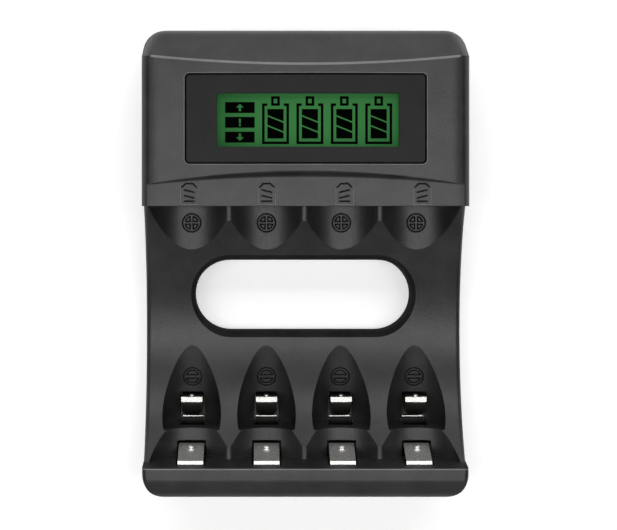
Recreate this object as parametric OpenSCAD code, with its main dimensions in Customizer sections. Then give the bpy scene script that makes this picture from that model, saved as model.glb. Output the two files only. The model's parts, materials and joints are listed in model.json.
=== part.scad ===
// Desktop charger for four AA or AAA rechargeable cells, with a liquid crystal display.
// Frame: X across the cells, Y from the foot towards the display, Z up from the back face.
// The origin is at the middle of the back face, and all sizes are in millimetres.

/* [Cells] */
// Diameter of an AA cell
aa_d = 14.5; // [13.8:0.1:15]
// Length of an AA cell
aa_len = 50.5; // [49.5:0.1:52]
// Diameter of an AAA cell
aaa_d = 10.5; // [9.8:0.1:11]
// Length of an AAA cell
aaa_len = 44.5; // [43.8:0.1:45.2]
// Distance between neighbouring cell axes
cell_pitch = 15.1; // [15:0.1:17]

/* [Case] */
// Distance from an outer cell axis to the side of the case
side_margin = 9.35; // [9.2:0.05:12]
// Length of the display head, from its lip to the back end
head_l = 34.65; // [34:0.05:42]
// Length of the foot bar
foot_l = 6.1; // [6:0.1:9]
// Height of the case at the middle of the display head
case_h = 25.7; // [25:0.1:29]
// Rise of the crowned head above its side edges
crown = 1.2; // [0.6:0.1:1.6]
// Drop of the flat band behind the lip below the side edges of the head
band_drop = 0.25; // [0.1:0.05:0.4]
// Height of the foot bar
foot_h = 22.4; // [21:0.1:24]
// Wall thickness
wall = 1.8; // [1.4:0.1:2]
// Height of the parting line between the two case halves
parting_z = 4; // [3.9:0.1:4.4]
// Thickness of the rear cover's floor
cover_floor = 1.5; // [1.2:0.1:1.6]

/* [Edges] */
// Plan corner radius at the display end
back_corner_r = 4.4; // [4.2:0.1:7]
// Plan corner radius at the foot
foot_corner_r = 4.8; // [4:0.1:6]
// Fillet along the side edges of the display head
head_edge_r = 2; // [1:0.1:2.4]
// Fillet along the display end, below its slope
back_edge_r = 3.6; // [2:0.1:4]
// Fillet along the top edges of the foot bar
foot_edge_r = 1; // [0.6:0.1:1.4]
// Fillet along the low sides of the bay
bay_edge_r = 1.1; // [0.5:0.1:1.3]
// Chamfer round the back face
back_chamfer = 1; // [0.5:0.1:1.5]
// Angle of the slope at the display end, from the horizontal
end_slope = 37; // [30:1:45]
// Drop of the display end from the top of the case to its fillet
end_drop = 3.5; // [3:0.1:5]
// Radius of the roll from the top of the foot bar to its end
foot_roll_r = 4; // [3:0.1:4.4]
// Chamfer of the rear cover along the parting line
parting_chamfer = 0.3; // [0.1:0.05:0.5]

/* [Bay] */
// Radius of the hollow that sweeps from the lip to the foot
sweep_r = 37.5; // [36:0.5:42]
// Height of the lowest point of that hollow
bay_floor_z = 7.7; // [7.5:0.1:8.5]
// Height of the bottom of the AA cradles
cradle_z = 11.6; // [11.4:0.1:12]
// Radial room round an AA cell in its cradle
cradle_room = 1.45; // [1.2:0.05:1.6]
// Height of the ridges between the cradles above the cradle bottoms
ridge_h = 3.6; // [2.5:0.1:4]
// Radial room round an AAA cell in its groove
groove_room = 0.65; // [0.4:0.05:0.8]
// Tilt of the AAA grooves down towards the foot
groove_tilt = 9; // [8:0.5:10]
// Height of the AAA groove bottoms at their foot end
groove_end_z = 5.4; // [5.2:0.1:6]
// Depth of the plus contacts behind the lip
nub_recess = 1; // [0.6:0.1:1.2]
// Lean of the foot bar's inner wall, from its top down to the cradles
foot_lean = 1.2; // [0.4:0.1:1.3]
// Room for the AA leaf between the cell and the foot bar
foot_room = 1.9; // [1.6:0.1:2.4]
// Room between an AAA cell and the end of its groove
groove_end_room = 0.85; // [0.5:0.05:1.2]

/* [Finger hole] */
// Length of the finger hole across the case
hole_l = 44.4; // [40:0.1:46]
// Width of the finger hole
hole_w = 14.7; // [12:0.1:15]
// Distance from the lip to the middle of the hole
hole_setback = 18.4; // [18:0.1:19]
// Width of the chamfer round the hole
hole_chamfer = 1.1; // [0.5:0.1:1.3]

/* [Display] */
// Width of the display bezel
bezel_w = 46.4; // [44:0.1:49]
// Length of the display bezel
bezel_l = 17; // [16.6:0.1:19]
// Distance from the lip to the middle of the bezel
bezel_setback = 17; // [16.4:0.1:17.6]
// Gap round the bezel
bezel_gap = 0.3; // [0.2:0.05:0.6]
// Depth of the bezel's face below the crowned head
bezel_drop = 0.25; // [0.1:0.05:0.4]
// Width of the display's viewing opening
view_w = 35.4; // [32:0.1:37]
// Length of the display's viewing opening
view_l = 10.4; // [9:0.1:11]
// Offset of the viewing opening across the case
view_x = 0.4; // [-0.6:0.1:0.6]
// Distance from the lip to the middle of the viewing opening
view_setback = 16.7; // [16.4:0.1:17]
// Setback of the stepped edge of the crowned pad from the lip, at the middle
step_mid = 5.7; // [5:0.1:6]
// Setback of the stepped edge of the crowned pad from the lip, at the sides
step_side = 4.2; // [3.6:0.1:4.8]

/* [Contacts] */
// Thickness of the contact metal
metal_t = 0.4; // [0.3:0.05:0.5]
// Width of an AA spring leaf
aa_leaf_w = 5.1; // [4:0.1:5.4]
// Width of an AAA spring leaf
aaa_leaf_w = 4.3; // [3.6:0.1:4.6]
// Width of a plus contact
plus_w = 5; // [4:0.1:5.2]
// Furthest turn of an AA spring leaf towards the foot
aa_travel = 9; // [7:0.5:9.5]
// Room beside a contact in its opening
contact_gap = 0.35; // [0.25:0.05:0.5]

/* [Inside] */
// Height of the underside of the circuit board
board_z = 14.5; // [14.2:0.1:15]
// Thickness of the circuit board
board_t = 1.6; // [1.2:0.1:1.8]
// Diameter of the case screws' shanks
screw_d = 2.2; // [1.8:0.1:2.4]
// Diameter of the case screws' heads
screw_head_d = 4.6; // [4:0.1:5]
// Width of the inlet socket
inlet_w = 7.6; // [7:0.1:9]
// Height of the inlet socket
inlet_h = 2.7; // [2.4:0.1:3.4]

/* [Hidden] */
$fn = 48;

// Colours as the photograph shows them
case_grey = "#474748";
bezel_black = "#2f2f30";
lcd_green = "#3a8444";
nickel = "#b9bab6";
board_green = "#2f6b45";
part_black = "#222224";

// Fine facets for the very large radii, and coarse ones inside hulls
large_fn = 720;
hull_fn = 32;
// Overshoot of a cutting shape past the face that it cuts
over = 1;

// Plan of the case
cell_count = 4;
body_w = (cell_count - 1) * cell_pitch + 2 * side_margin;
half_w = body_w / 2;
bay_l = aa_len - nub_recess + foot_room;
body_l = head_l + bay_l + foot_l;
y_back = body_l / 2;
y_lip = y_back - head_l;
y_foot = y_lip - bay_l;
y_end = -body_l / 2;
y_plus = y_lip + nub_recess;
function bay_x(i) = (i - (cell_count - 1) / 2) * cell_pitch;

// Crowned head: a shallow cylinder over the flat band behind the lip
edge_z = case_h - crown;
crown_half = half_w - head_edge_r;
crown_r = (crown_half * crown_half + crown * crown) / (2 * crown);
crown_axis_z = case_h - crown_r;
crown_steps = 24;
end_z = case_h - end_drop;
back_fillet_y = y_back - back_edge_r;
back_fillet_z = end_z - back_edge_r;
crease_y = back_fillet_y + back_edge_r * sin(end_slope)
    - (edge_z - back_fillet_z - back_edge_r * cos(end_slope)) / tan(end_slope);
band_z = edge_z - band_drop;
step_bulge = step_mid - step_side;
step_r = (crown_half * crown_half + step_bulge * step_bulge) / (2 * step_bulge);
step_lean = 0.8;

// Bay: one sweep across the case, crossed by the cradles and the inclined grooves
sweep_y = (y_lip + y_foot) / 2 + 0.2;
sweep_z = bay_floor_z + sweep_r;
cradle_r = aa_d / 2 + cradle_room;
ridge_z = cradle_z + ridge_h;
ridge_r = 1;
groove_r = aaa_d / 2 + groove_room;
groove_end_y = y_plus - aaa_len * cos(groove_tilt) - groove_end_room;
groove_cut_l = 24;

// Finger hole, which runs through both case halves
hole_y = y_lip - hole_setback;
hole_r = hole_w / 2;
hole_half = hole_l / 2 - hole_r;
hole_chamfer_h = 2;
function sweep_floor(y) = sweep_z - sqrt(sweep_r * sweep_r - (y - sweep_y) * (y - sweep_y));
hole_hi_z = sweep_floor(hole_y + hole_r);
hole_lo_z = sweep_floor(hole_y - hole_r);
hole_lean = atan((hole_hi_z - hole_lo_z) / hole_w);

// Display stack, from the bezel down to the frame that stands on the circuit board
bezel_y = y_lip + bezel_setback;
bezel_seat_z = edge_z - 0.5;
bezel_corner_r = 0.6;
view_y = y_lip + view_setback;
glass_lap = [5.6, 4.1];
glass_w = view_w + glass_lap[0];
glass_l = view_l + glass_lap[1];
glass_t = 2;
glass_gap = 0.3;
backlight_t = 2.4;
frame_wall = 1.6;
frame_ledge = 1.5;
roof_z = edge_z - wall;
board_top = board_z + board_t;
backlight_z = bezel_seat_z - glass_t - backlight_t;
frame_top = roof_z - 0.1;

// Rear cover, contact board and the roots of the spring leaves
pad_h = 0.5;
pad_w = 3;
contact_board_t = 1;
contact_board_z = cover_floor + pad_h;
strip_z = contact_board_z + contact_board_t;
root_d = 0.6;
root_gap = 0.1;
root_z = strip_z + metal_t + root_gap + root_d / 2;
aa_root_setback = 5;
aaa_root_setback = 5.05;
leaf_spacing = 4.8;
aa_root_y = y_foot + aa_root_setback;
aaa_root_y = max(groove_end_y + aaa_root_setback, aa_root_y + leaf_spacing);
strip_lap = 1;
strip_y0 = min(aa_root_y, groove_end_y) - strip_lap;
strip_y1 = aaa_root_y + strip_lap;
contact_board_lap = 1.2;
contact_board_y0 = strip_y0 - contact_board_lap;
contact_board_y1 = strip_y1 + contact_board_lap;
contact_board_room = 0.7;
contact_board_half = half_w - wall - contact_board_room;
post_gap = 0.15;
pin_d = 1.8;
pin_gap = 0.15;
pin_y = (contact_board_y0 + contact_board_y1) / 2;

// Spring leaves as paths in the YZ plane, each from its root to its tip
aa_dimple_h = 1.9;
aa_plate_h = 6.4;
aa_plate_lean = 2.6;
aa_knee = [aa_root_y - 1.65, cradle_z];
aa_head = aa_knee + [-aa_plate_lean, aa_plate_h];
aa_tip = aa_head + [-0.6, 0.3];
aa_path = [[aa_root_y, root_z], aa_knee, aa_head, aa_tip];
aa_dimple = aa_knee + [-aa_plate_lean, aa_plate_h] * aa_dimple_h / aa_plate_h;
aa_dimple_r = 0.95;
aaa_lean = 0.1;
aaa_head = [aaa_root_y - aaa_lean, cradle_z - 0.75];
aaa_fold_run = [-0.75, 0.1];
aaa_fold = aaa_head + aaa_fold_run;
aaa_tongue_run = [-2.8, -2.5];
aaa_tip = aaa_fold + aaa_tongue_run;
aaa_path = [[aaa_root_y, root_z], aaa_head, aaa_fold, aaa_tip];
aaa_bump = aaa_head + [0.12, -1];
aaa_bump_r = 0.6;
aaa_tongue_w = 4.1;
aaa_tongue_r = 1;

// Openings that the leaves move in
aa_reach = aa_root_y - aa_tip[0];
aa_rise = aa_tip[1] - root_z;
pocket_y = aa_root_y - aa_reach * cos(aa_travel) - aa_rise * sin(aa_travel) - metal_t - contact_gap;
pocket_top = aa_tip[1] + metal_t + 1;
slot_front_y = aa_knee[0] + metal_t + contact_gap;
slot_rear_y = aa_knee[0] - (cradle_z - root_z) * sin(aa_travel) - metal_t - contact_gap - 0.6;
foot_cavity_y = aa_root_y + root_d / 2 + contact_gap;
window_y = aaa_root_y + root_d / 2 + contact_gap;
window_h = 4.2;
window_top = groove_end_z + window_h;
bead_d = 0.7;
bead_y = groove_end_y + bead_d / 2;
under_cradle_z = cradle_z - wall;

// Plus contacts behind the lip
plus_rise = 3.4;
plus_top = cradle_z + aa_d / 2 + plus_rise;
plus_tab = 4.6;
plus_path = [[y_plus + metal_t / 2, plus_top], [y_plus + metal_t / 2, board_z - metal_t / 2],
             [y_plus + plus_tab, board_z - metal_t / 2]];
plus_open_z = board_z - 1.2;

// Circuit board and its screws
board_lip_room = 2;
board_end_room = 7.7;
board_side_room = 1.2;
board_y0 = y_lip + wall + board_lip_room;
board_y1 = y_back - wall - board_end_room;
board_half = half_w - wall - board_side_room;
tongue_half = 20;
tongue_y1 = y_back - wall - 0.3;
board_screw_inset = 5.5;
board_screw_x = half_w - board_screw_inset;
board_screw_setback = 9.3;
board_screw_pitch = 14.2;
board_screw_bite = 4.2;
board_screw_y = [for (k = [0, 1]) y_lip + board_screw_setback + k * board_screw_pitch];
board_screw_d = 2;
board_head_d = 3.8;
board_head_h = 1.4;
board_boss_d = 5;
bore_gap = 0.1;

// Case screws, from the back into bosses of the front shell
boss_d = 6;
post_d = 8;
screw_reach = 12;
screw_head_h = 1.7;
head_screw_inset = 6;
foot_screw_inset = [4.6, 4.7];
head_screw_x = half_w - head_screw_inset;
head_screw_y = y_back - head_screw_inset;
foot_screw_x = half_w - foot_screw_inset[0];
foot_screw_y = y_end + foot_screw_inset[1];
post_seat_z = parting_z - 1.6;
case_screw_places = [for (s = [-1, 1]) each [[s * head_screw_x, head_screw_y],
                                             [s * foot_screw_x, foot_screw_y]]];
board_screw_places = [for (s = [-1, 1]) for (y = board_screw_y) [s * board_screw_x, y]];

// Inlet socket under the tongue of the circuit board
inlet_l = 5.4;
inlet_skin = 0.3;
inlet_z = board_z - inlet_h;
inlet_gap = 0.4;

// Parts on the underside of the circuit board, placed from its foot-side edge
parts_setback = 10;
parts_y = board_y0 + parts_setback;
chip_size = [9.9, 6, 1.7];
chip_x = -8;
chip_foot = [0.5, 1.4, 1];
chip_pitch = 1.27;
drum_r = 4;
drum_h = 5;
drum_flange = 1;
drum_x = 9;
can_r = 3.1;
can_h = 7;
can_x = 16;
can_setback = 4;
can_y = board_y1 - can_setback;
can_groove_h = 1.2;
transistor_size = [3, 1.8, 1.2];
transistor_setback = 3;
transistor_y = y_plus + plus_tab + transistor_setback;
resistor_size = [3.2, 1.6, 0.6];
resistor_pitch = 4.5;
resistor_inset = 2.4;
resistor_x = board_half - resistor_inset;
resistor_z = board_top + resistor_size[2] / 2;

// Flat cable between the two boards, midway between the finger hole's collar and the side of the case
cable_room = 1.2;
cable_x0 = hole_l / 2 + wall + cable_room;
cable_x1 = half_w - wall - cable_room;
cable_w = cable_x1 - cable_x0;
cable_x = (cable_x0 + cable_x1) / 2;
cable_t = 0.6;
cable_z = cover_floor + 0.1 + cable_t / 2;
cable_rise_y = board_y0 + 1.6;
cable_lap_z = strip_z + cable_t / 2;
cable_lap = 1;
cable_path = [[contact_board_y1 - cable_lap, cable_lap_z], [contact_board_y1 + 0.8, cable_lap_z],
              [contact_board_y1 + 2.4, cable_z], [cable_rise_y, cable_z], [cable_rise_y, board_z]];

// Vents in the rear cover
vent_l = 9;
vent_w = 1.6;
vent_pitch = 4;
vent_rows = 5;
vent_x = 9;

// Offset of a bent strip's edge at point i of its middle line
function unit(v) = v / norm(v);
function left(v) = [-v[1], v[0]];
function side(p, i) = left(unit(p[i + 1] - p[i]));
function edge_shift(p, i, t) = let (last = len(p) - 1)
    let (a = side(p, max(i - 1, 0)))
    let (b = side(p, min(i, last - 1)))
    (a + b) * t / 2 / (1 + a * b);
function strip(p, t) = concat([for (i = [0 : len(p) - 1]) p[i] + edge_shift(p, i, t)],
                              [for (i = [len(p) - 1 : -1 : 0]) p[i] - edge_shift(p, i, t)]);

// A profile drawn in the YZ plane, extruded across X about the middle
module across(w) {
    translate([-w / 2, 0, 0])
        rotate([90, 0, 90])
            linear_extrude(w)
                children();
}

// A box from one corner to the opposite one
module span(low, high) {
    translate(low)
        cube(high - low);
}

// A round bar along Y
module bar_y(r, y0, y1) {
    translate([0, y0, 0])
        rotate([-90, 0, 0])
            cylinder(r = r, h = y1 - y0);
}

// A slot with round ends, grown by a margin
module stadium(margin, h) {
    linear_extrude(h)
        hull()
            for (s = [-1, 1])
                translate([s * hole_half, 0])
                    circle(hole_r + margin);
}

// Corner of the case with a rolled top edge, for the outer hull
module rolled_corner(corner_r, edge_r, top_z) {
    translate([0, 0, top_z - edge_r])
        rotate_extrude($fn = hull_fn)
            intersection() {
                translate([corner_r - edge_r, 0])
                    circle(edge_r, $fn = hull_fn);
                square([corner_r, edge_r]);
            }
    translate([0, 0, parting_z])
        cylinder(r = corner_r, h = top_z - edge_r - parting_z, $fn = hull_fn);
}

// A slab with the crown of the head for its top, lowered by a drop
module crown_slab(half, z0, drop, y0, y1) {
    r = crown_r - drop;
    translate([0, y1, 0])
        rotate([90, 0, 0])
            linear_extrude(y1 - y0)
                polygon(concat([[half, z0], [-half, z0]],
                               [for (k = [0 : crown_steps])
                                   let (x = half * (2 * k / crown_steps - 1))
                                   [x, crown_axis_z + sqrt(r * r - x * x)]]));
}

// Crowned top of the head, cut off by the slope at the display end
module crown_lens() {
    intersection() {
        crown_slab(crown_half, edge_z - over, 0, y_lip, y_back);
        translate([0, crease_y, edge_z])
            rotate([-end_slope, 0, 0])
                span([-body_w, -body_l, -body_l], [body_w, body_l, 0]);
    }
}

// Outside of the front shell before the bay is cut
module shell_outside() {
    hull() {
        crown_lens();
        for (s = [-1, 1]) {
            translate([s * (half_w - back_corner_r), y_back - back_corner_r, 0])
                rolled_corner(back_corner_r, back_edge_r, end_z);
            translate([s * (half_w - foot_corner_r), y_end + foot_corner_r, 0])
                rolled_corner(foot_corner_r, foot_edge_r, foot_h);
            translate([s * crown_half, 0, edge_z - head_edge_r])
                bar_y(head_edge_r, y_lip, crease_y, $fn = hull_fn);
        }
    }
}

// Level top of the foot bar, rolled over towards its end
module foot_cut() {
    span([-body_w, y_end - over, foot_h], [body_w, y_foot + over, case_h + over]);
    difference() {
        span([-body_w, y_end - over, foot_h - foot_roll_r], [body_w, y_end + foot_roll_r, foot_h + over]);
        translate([0, y_end + foot_roll_r, foot_h - foot_roll_r])
            rotate([0, 90, 0])
                cylinder(r = foot_roll_r, h = 2 * body_w, center = true, $fn = 96);
    }
}

// Room of the bay between the lip and the leaning wall of the foot bar
module bay_room() {
    lean = foot_lean / (foot_h - cradle_z);
    across(2 * body_w)
        polygon([[y_lip, 0], [y_lip, case_h + over], [y_foot - lean * over, case_h + over],
                 [y_foot - lean * over, foot_h + over], [y_foot + lean * foot_h, 0]]);
}

// The sweep from the lip to the foot, with rolled edges at both sides
module sweep_cut() {
    translate([0, sweep_y, sweep_z])
        rotate([0, 90, 0])
            rotate_extrude($fn = 240)
                difference() {
                    translate([0, -half_w - over])
                        square([sweep_r + bay_edge_r, body_w + 2 * over]);
                    translate([sweep_r, bay_edge_r - half_w])
                        square([bay_edge_r + over, body_w - 2 * bay_edge_r]);
                    for (s = [-1, 1])
                        translate([sweep_r + bay_edge_r, s * (half_w - bay_edge_r)])
                            circle(bay_edge_r);
                }
}

// Cradles for the AA cells, with rounded ridges between them
module cradle_cuts() {
    difference() {
        span([bay_x(0), y_foot - over, ridge_z - ridge_r / 2],
             [bay_x(cell_count - 1), y_lip + over, case_h + over]);
        for (i = [0 : cell_count - 2])
            translate([bay_x(i) + cell_pitch / 2, 0, ridge_z - ridge_r])
                bar_y(ridge_r, y_foot - 2 * over, y_lip + 2 * over);
    }
    for (i = [0 : cell_count - 1])
        translate([bay_x(i), 0, cradle_z + cradle_r])
            bar_y(cradle_r, y_foot - over, y_lip + over, $fn = 96);
}

// The bay: the sweep and the cradles, ended by the lip and the foot bar
module bay_cut() {
    intersection() {
        union() {
            sweep_cut();
            cradle_cuts();
        }
        bay_room();
    }
}

// Inclined grooves for the AAA cells at the foot end of the bay
module groove_cuts() {
    for (i = [0 : cell_count - 1])
        translate([bay_x(i), groove_end_y, groove_end_z])
            rotate([groove_tilt, 0, 0])
                translate([0, 0, groove_r])
                    bar_y(groove_r, 0, groove_cut_l, $fn = 96);
}

// Finger hole with a chamfer that leans with the floor of the bay
module hole_cut() {
    translate([0, hole_y, -over])
        stadium(0, case_h);
    translate([0, hole_y, (hole_hi_z + hole_lo_z) / 2])
        rotate([hole_lean, 0, 0])
            hull()
                for (s = [-1, 1])
                    translate([s * hole_half, 0, -hole_chamfer_h])
                        cylinder(r1 = hole_r, r2 = hole_r + 2 * hole_chamfer, h = 2 * hole_chamfer_h);
}

// Openings for the spring leaves at the foot
module leaf_openings() {
    aa_open = aa_leaf_w / 2 + contact_gap;
    aaa_open = aaa_leaf_w / 2 + contact_gap;
    for (i = [0 : cell_count - 1])
        translate([bay_x(i), 0, 0]) {
            span([-aa_open, slot_rear_y, under_cradle_z - over], [aa_open, slot_front_y, cradle_z + over]);
            span([-aa_open, pocket_y, cradle_z - 0.4], [aa_open, y_foot + foot_lean + over, pocket_top]);
            span([-aaa_open, foot_cavity_y - over, parting_z - over], [aaa_open, window_y, window_top]);
        }
}

// Openings in the lip for the plus contacts
module plus_openings() {
    plus_open = plus_w / 2 + contact_gap;
    for (i = [0 : cell_count - 1])
        translate([bay_x(i), 0, 0])
            span([-plus_open, y_lip - over, plus_open_z],
                 [plus_open, y_lip + wall + over, plus_top + contact_gap]);
}

// Flat band behind the lip, left by cutting the crown back to a bowed and leaning step
module step_cut() {
    rise = crown + band_drop + over;
    translate([0, y_lip + step_mid - step_r, band_z])
        intersection() {
            cylinder(r1 = step_r, r2 = step_r + rise * step_lean, h = rise, $fn = large_fn);
            span([-body_w, step_r - step_mid - over, -over], [body_w, step_r + step_mid, rise + over]);
        }
}

// Plan of the bezel, grown by a margin
module bezel_plan(margin, h) {
    corner_x = bezel_w / 2 - bezel_corner_r;
    corner_y = bezel_l / 2 - bezel_corner_r;
    translate([0, bezel_y, 0])
        hull()
            for (x = [-corner_x, corner_x])
                for (y = [-corner_y, corner_y])
                    translate([x, y, 0])
                        cylinder(r = bezel_corner_r + margin, h = h, $fn = hull_fn);
}

// Room for the display in the roof of the head
module display_cut() {
    translate([0, 0, bezel_seat_z])
        bezel_plan(bezel_gap, crown + over + case_h);
    translate([view_x, view_y, 0])
        span([-glass_w / 2 - glass_gap, -glass_l / 2 - glass_gap, roof_z - over],
             [glass_w / 2 + glass_gap, glass_l / 2 + glass_gap, bezel_seat_z + over]);
}

// Inner plan of the case with cut corners, from one Y to another
module inner_plan(y0, y1, cut0, cut1) {
    x = half_w - wall;
    polygon([[-x + cut0, y0], [x - cut0, y0], [x, y0 + cut0], [x, y1 - cut1],
             [x - cut1, y1], [-x + cut1, y1], [-x, y1 - cut1], [-x, y0 + cut0]]);
}

// Hollow of the head, under its roof and its slope
module head_cavity() {
    slope_drop = (edge_z - end_z) + back_edge_r;
    intersection() {
        across(body_w)
            polygon([[y_lip + wall, parting_z - over], [y_lip + wall, roof_z], [crease_y - wall, roof_z],
                     [y_back - wall, roof_z - slope_drop], [y_back - wall, parting_z - over]]);
        translate([0, 0, parting_z - over])
            linear_extrude(case_h)
                inner_plan(y_lip + wall, y_back - wall, 0.5, back_corner_r / 2);
    }
}

// Hollow under the upper part of the bay, round the walls of the finger hole
module bay_cavity() {
    difference() {
        span([wall - half_w, hole_y - hole_r - wall - 1, parting_z - over],
             [half_w - wall, y_lip + wall + 0.5, under_cradle_z]);
        translate([0, sweep_y, sweep_z])
            rotate([0, 90, 0])
                cylinder(r = sweep_r + wall, h = 2 * body_w, center = true, $fn = 240);
        translate([0, hole_y, 0])
            stadium(wall, case_h);
    }
}

// Hollow of the foot, where the spring leaves are rooted
module foot_cavity() {
    translate([0, 0, parting_z - over])
        linear_extrude(under_cradle_z - parting_z + over)
            inner_plan(y_end + wall, foot_cavity_y, foot_corner_r / 2, 0.5);
}

// Hollow of the front shell, less its screw bosses
module shell_cavity() {
    difference() {
        union() {
            head_cavity();
            bay_cavity();
            foot_cavity();
        }
        for (p = case_screw_places)
            translate([p[0], p[1], parting_z])
                cylinder(d = boss_d, h = case_h);
        for (p = board_screw_places)
            translate([p[0], p[1], board_top])
                cylinder(d = board_boss_d, h = case_h);
    }
}

// Bores for the screws that come up from the back
module shell_bores() {
    for (p = case_screw_places)
        translate([p[0], p[1], parting_z - over])
            cylinder(d = screw_d + 2 * bore_gap, h = screw_reach + 2 * over - parting_z);
    for (p = board_screw_places)
        translate([p[0], p[1], board_top - over])
            cylinder(d = board_screw_d + 2 * bore_gap, h = board_screw_bite + 2 * over);
}

// Mouth for a plug in the end wall
module inlet_mouth() {
    span([-inlet_w / 2 - inlet_gap, tongue_y1 - over, inlet_z - inlet_gap],
         [inlet_w / 2 + inlet_gap, y_back + over, board_z + inlet_gap]);
}

module front_shell() {
    color(case_grey)
        difference() {
            shell_outside();
            foot_cut();
            bay_cut();
            groove_cuts();
            hole_cut();
            step_cut();
            display_cut();
            shell_cavity();
            leaf_openings();
            plus_openings();
            shell_bores();
            inlet_mouth();
        }
}

// Outside of the rear cover, with a chamfer round the back face and one along the parting line
module cover_outside() {
    hull()
        for (s = [-1, 1])
            for (c = [[back_corner_r, y_back - back_corner_r], [foot_corner_r, y_end + foot_corner_r]])
                translate([s * (half_w - c[0]), c[1], 0]) {
                    cylinder(r1 = c[0] - back_chamfer, r2 = c[0], h = back_chamfer);
                    translate([0, 0, parting_z - parting_chamfer])
                        cylinder(r1 = c[0], r2 = c[0] - parting_chamfer, h = parting_chamfer);
                }
}

// Pads and pins that carry the contact board
module board_seats() {
    for (x = [-cell_pitch, 0, cell_pitch])
        translate([x, 0, 0]) {
            span([-pad_w / 2, contact_board_y0 + 1, cover_floor - 0.5],
                 [pad_w / 2, contact_board_y1 - 1, contact_board_z]);
            translate([0, pin_y, cover_floor])
                cylinder(d = pin_d, h = pad_h + contact_board_t + 0.5);
        }
}

module rear_cover() {
    color(case_grey)
        difference() {
            union() {
                difference() {
                    cover_outside();
                    translate([0, 0, cover_floor])
                        linear_extrude(parting_z)
                            inner_plan(y_end + wall, y_back - wall, foot_corner_r / 2, back_corner_r / 2);
                }
                for (p = case_screw_places)
                    translate([p[0], p[1], cover_floor / 2])
                        cylinder(d = post_d, h = parting_z - cover_floor / 2);
                translate([0, hole_y, cover_floor / 2])
                    stadium(wall, parting_z - cover_floor / 2);
                board_seats();
            }
            translate([0, hole_y, -over])
                stadium(0, parting_z + 2 * over);
            for (p = case_screw_places)
                translate([p[0], p[1], -over]) {
                    cylinder(d = screw_head_d + 0.6, h = post_seat_z + over);
                    cylinder(d = screw_d + 0.6, h = parting_z + 2 * over);
                }
            for (s = [-1, 1])
                for (k = [0 : vent_rows - 1])
                    translate([s * vent_x - vent_l / 2, y_lip + wall + 6 + k * vent_pitch, -over])
                        cube([vent_l, vent_w, cover_floor + 2 * over]);
        }
}

module display_bezel() {
    color(bezel_black)
        difference() {
            intersection() {
                translate([0, 0, bezel_seat_z])
                    bezel_plan(0, crown + over);
                crown_slab(bezel_w / 2 + over, bezel_seat_z - over, bezel_drop, y_lip, y_back);
            }
            translate([view_x, view_y, 0])
                span([-view_w / 2, -view_l / 2, bezel_seat_z - over],
                     [view_w / 2, view_l / 2, case_h + over]);
        }
}

// A layer of the display stack, over the glass plan
module glass_layer(z, t) {
    translate([view_x, view_y, z])
        span([-glass_w / 2, -glass_l / 2, 0], [glass_w / 2, glass_l / 2, t]);
}

module lcd_panel() {
    color(lcd_green)
        glass_layer(bezel_seat_z - glass_t, glass_t);
}

module lcd_backlight() {
    color("white")
        glass_layer(backlight_z, backlight_t);
}

module lcd_frame() {
    color("ivory")
        translate([view_x, view_y, 0])
            difference() {
                outer = [glass_w / 2 + frame_wall + 0.2, glass_l / 2 + frame_wall + 0.2];
                seat = [glass_w / 2 + 0.2, glass_l / 2 + 0.2];
                through = [glass_w / 2 - frame_ledge, glass_l / 2 - frame_ledge];
                span([-outer[0], -outer[1], board_top], [outer[0], outer[1], frame_top]);
                span([-seat[0], -seat[1], backlight_z], [seat[0], seat[1], frame_top + over]);
                span([-through[0], -through[1], board_top - over], [through[0], through[1], frame_top]);
            }
}

module circuit_board() {
    color(board_green)
        difference() {
            union() {
                span([-board_half, board_y0, board_z], [board_half, board_y1, board_top]);
                span([-tongue_half, board_y1 - over, board_z], [tongue_half, tongue_y1, board_top]);
            }
            for (p = board_screw_places)
                translate([p[0], p[1], board_z - over])
                    cylinder(d = board_screw_d + 4 * bore_gap, h = board_t + 2 * over);
        }
}

module contact_board() {
    color(board_green)
        difference() {
            span([-contact_board_half, contact_board_y0, contact_board_z],
                 [contact_board_half, contact_board_y1, strip_z]);
            for (x = [-cell_pitch, 0, cell_pitch])
                translate([x, pin_y, contact_board_z - over])
                    cylinder(d = pin_d + 2 * pin_gap, h = contact_board_t + 2 * over);
            for (p = case_screw_places)
                translate([p[0], p[1], contact_board_z - over])
                    cylinder(d = post_d + 2 * post_gap, h = contact_board_t + 2 * over);
        }
}

module inlet_socket() {
    color(nickel)
        translate([0, tongue_y1 - inlet_l, inlet_z]) {
            difference() {
                span([-inlet_w / 2, 0, 0], [inlet_w / 2, inlet_l, inlet_h]);
                span([inlet_skin - inlet_w / 2, 1, inlet_skin],
                     [inlet_w / 2 - inlet_skin, inlet_l + over, inlet_h - inlet_skin]);
            }
            span([-inlet_w / 4, 0.5, inlet_h / 2 - 0.3], [inlet_w / 4, inlet_l - 0.8, inlet_h / 2 + 0.3]);
        }
}

module controller_chip() {
    body = [chip_size[0], chip_size[1], chip_size[2] - 0.2];
    color(part_black)
        translate([chip_x, parts_y, board_z - chip_size[2]]) {
            translate([-body[0] / 2, -body[1] / 2, 0])
                cube(body);
            for (s = [-1, 1])
                for (k = [-3 : 3])
                    translate([k * chip_pitch, s * (body[1] / 2 + 0.5), chip_size[2] - chip_foot[2] / 2])
                        cube(chip_foot, center = true);
        }
}

module power_inductor() {
    waist_r = drum_r - 0.8;
    neck = drum_flange + 0.2;
    color(part_black)
        translate([drum_x, parts_y, board_z - drum_h])
            rotate_extrude()
                polygon([[0, 0], [drum_r, 0], [drum_r, drum_flange], [waist_r, neck],
                         [waist_r, drum_h - neck], [drum_r, drum_h - drum_flange],
                         [drum_r, drum_h], [0, drum_h]]);
}

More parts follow.
